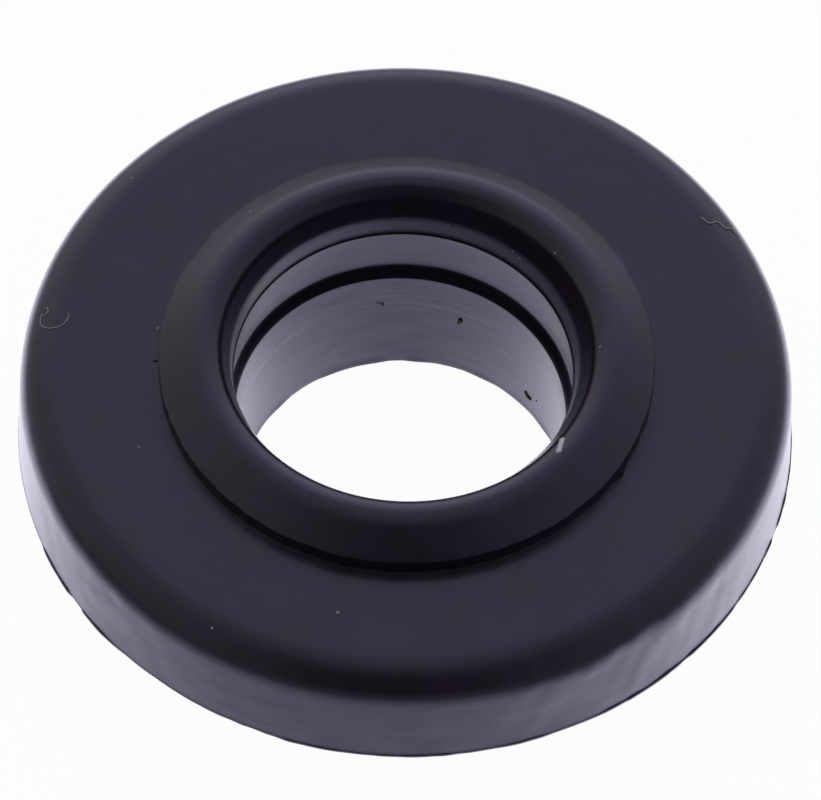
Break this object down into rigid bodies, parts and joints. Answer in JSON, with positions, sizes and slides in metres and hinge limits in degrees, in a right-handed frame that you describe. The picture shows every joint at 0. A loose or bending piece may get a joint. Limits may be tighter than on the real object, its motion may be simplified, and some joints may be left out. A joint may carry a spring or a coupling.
{
  "type": "valve cover bolt seal",
  "caption": "Moulded rubber grommet: a thick round flange with a raised sealing bead round a grooved bore, and a plain neck below.",
  "frame": {"origin": "centre of the neck's flat end, which the part stands on", "axes": "+Z along the bore, from the neck towards the sealing bead; +X and +Y are free, because the part is round"},
  "size_m": [0.0264, 0.0264, 0.0093],
  "materials": {
    "rubber": "satin black moulded rubber"
  },
  "bodies": {
    "root": {"seal": "rubber"}
  },
  "joints": []
}
